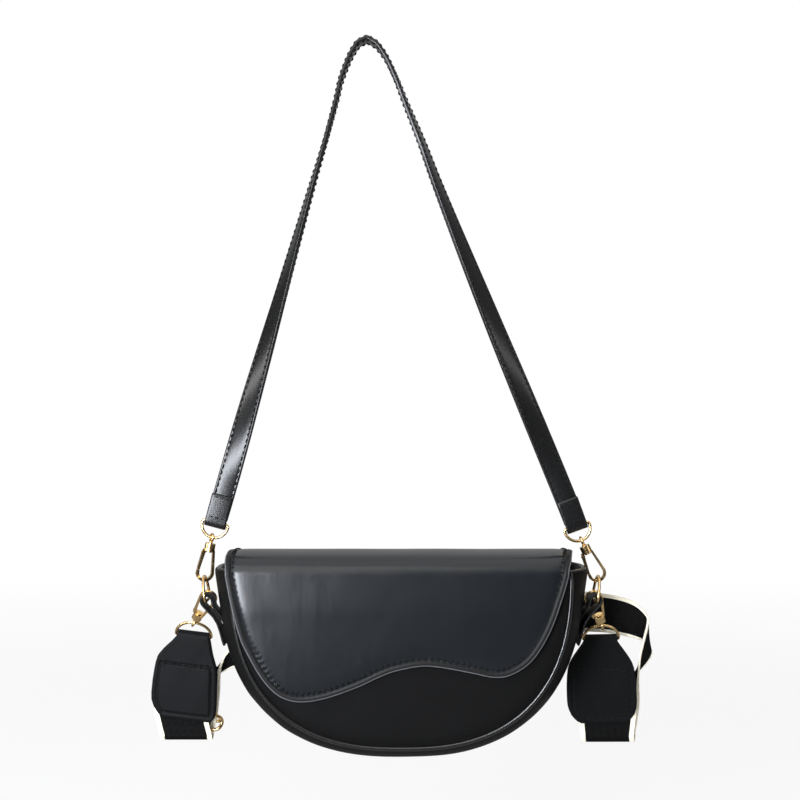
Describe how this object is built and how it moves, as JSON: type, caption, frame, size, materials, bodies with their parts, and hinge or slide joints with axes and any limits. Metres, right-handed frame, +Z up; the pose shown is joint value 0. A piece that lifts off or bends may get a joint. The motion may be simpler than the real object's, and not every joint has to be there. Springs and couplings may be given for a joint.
{
  "type": "saddle handbag",
  "caption": "Half-moon saddle handbag: leather pouch under a curved flap, hung by snap hooks from a narrow shoulder strap, with a wide webbing strap clipped on behind.",
  "frame": {"origin": "underside of the shoulder strap where it hangs over its peg", "axes": "+X to the right seen from the front, +Y to the back, +Z up; the bag hangs down along -Z"},
  "size_m": [0.3573, 0.0861, 0.496],
  "materials": {
    "black_leather": "smooth, polished",
    "strap_leather": "smooth, polished",
    "lining_cloth": "woven, matt",
    "gold_hardware": "polished pale gold plating",
    "black_webbing": "woven webbing with cream edges"
  },
  "bodies": {
    "carry_strap": {"shoulder_strap": "strap_leather", "strap_end_left": "strap_leather", "strap_end_right": "strap_leather", "strap_ring_left": "gold_hardware", "strap_ring_right": "gold_hardware", "upper_eye_left": "gold_hardware", "upper_eye_right": "gold_hardware"},
    "pouch": {"front_panel": "black_leather", "back_panel": "black_leather", "gusset": "black_leather", "front_piping": "black_leather", "back_piping": "black_leather", "lining": "lining_cloth", "slip_pocket": "lining_cloth", "snap_socket": "gold_hardware", "snap_washer": "gold_hardware", "side_tab_left": "strap_leather", "side_tab_right": "strap_leather", "bag_ring_left": "gold_hardware", "bag_ring_right": "gold_hardware", "flap_back": "black_leather"},
    "flap_lid": {"flap_top": "black_leather", "flap_top_lining": "lining_cloth"},
    "flap_fall": {"flap_front": "black_leather", "flap_front_lining": "lining_cloth", "flap_rim": "black_leather", "snap_stud": "gold_hardware"},
    "web_strap": {"webbing": "black_webbing", "webbing_pad_left": "strap_leather", "webbing_pad_right": "strap_leather", "webbing_ring_left": "gold_hardware", "webbing_ring_right": "gold_hardware", "lower_eye_left": "gold_hardware", "lower_eye_right": "gold_hardware"},
    "web_slider": {"slider": "gold_hardware"},
    "hook_upper_left": {"upper_hook_left": "gold_hardware", "upper_pin_left": "gold_hardware"},
    "gate_upper_left": {"upper_gate_left": "gold_hardware"},
    "hook_lower_left": {"lower_hook_left": "gold_hardware", "lower_pin_left": "gold_hardware"},
    "gate_lower_left": {"lower_gate_left": "gold_hardware"},
    "hook_upper_right": {"upper_hook_right": "gold_hardware", "upper_pin_right": "gold_hardware"},
    "gate_upper_right": {"upper_gate_right": "gold_hardware"},
    "hook_lower_right": {"lower_hook_right": "gold_hardware", "lower_pin_right": "gold_hardware"},
    "gate_lower_right": {"lower_gate_right": "gold_hardware"}
  },
  "joints": [
    {"name": "pouch_swing", "type": "hinge", "parent": "carry_strap", "child": "pouch", "pos_m": [0.0235, 0, -0.38138], "axis": [1, 0, 0], "range_deg": [-15, 15]},
    {"name": "flap_lid_lift", "type": "hinge", "parent": "pouch", "child": "flap_lid", "pos_m": [0.0235, 0.0372, -0.35947], "axis": [-1, 0, 0], "range_deg": [0, 4]},
    {"name": "flap_fall_lift", "type": "hinge", "parent": "flap_lid", "child": "flap_fall", "pos_m": [0.0235, -0.03729, -0.35479], "axis": [-1, 0, 0], "range_deg": [0, 150]},
    {"name": "web_swing", "type": "hinge", "parent": "pouch", "child": "web_strap", "pos_m": [0.0235, 0.01133, -0.38418], "axis": [1, 0, 0], "range_deg": [0, 10]},
    {"name": "slider_travel", "type": "slide", "parent": "web_strap", "child": "web_slider", "axis": [0, 0, 1], "range_m": [0, 0.018]},
    {"name": "upper_swivel_left", "type": "hinge", "parent": "carry_strap", "child": "hook_upper_left", "pos_m": [-0.10729, 0, -0.3422], "axis": [-0.1908, 0, -0.9816], "range_deg": [-15, 30]},
    {"name": "upper_gate_open_left", "type": "hinge", "parent": "hook_upper_left", "child": "gate_upper_left", "pos_m": [-0.11282, -0.00165, -0.35213], "axis": [0.4149, -0.9063, -0.0806], "range_deg": [0, 18], "stiffness_Nm_per_rad": 0.002, "springref_deg": -11.46},
    {"name": "lower_swivel_left", "type": "hinge", "parent": "web_strap", "child": "hook_lower_left", "pos_m": [-0.12297, 0.02353, -0.40458], "axis": [0.4684, -0.4535, 0.7582], "range_deg": [-8, 10]},
    {"name": "lower_gate_open_left", "type": "hinge", "parent": "hook_lower_left", "child": "gate_lower_left", "pos_m": [-0.12134, 0.01803, -0.39463], "axis": [0.087, 0.8777, 0.4712], "range_deg": [0, 18], "stiffness_Nm_per_rad": 0.002, "springref_deg": -11.46},
    {"name": "upper_swivel_right", "type": "hinge", "parent": "carry_strap", "child": "hook_upper_right", "pos_m": [0.14796, 0, -0.34426], "axis": [0.4226, 0, -0.9063], "range_deg": [-30, 30]},
    {"name": "upper_gate_open_right", "type": "hinge", "parent": "hook_upper_right", "child": "gate_upper_right", "pos_m": [0.14899, 0, -0.35569], "axis": [0, -1, 0], "range_deg": [0, 18], "stiffness_Nm_per_rad": 0.002, "springref_deg": -11.46},
    {"name": "lower_swivel_right", "type": "hinge", "parent": "web_strap", "child": "hook_lower_right", "pos_m": [0.16537, 0.02353, -0.40678], "axis": [-0.2974, -0.4535, 0.8402], "range_deg": [-10, 8]},
    {"name": "lower_gate_open_right", "type": "hinge", "parent": "hook_lower_right", "child": "gate_lower_right", "pos_m": [0.15843, 0.01911, -0.39876], "axis": [-0.0187, 0.8826, 0.4698], "range_deg": [0, 18], "stiffness_Nm_per_rad": 0.002, "springref_deg": -11.46}
  ]
}
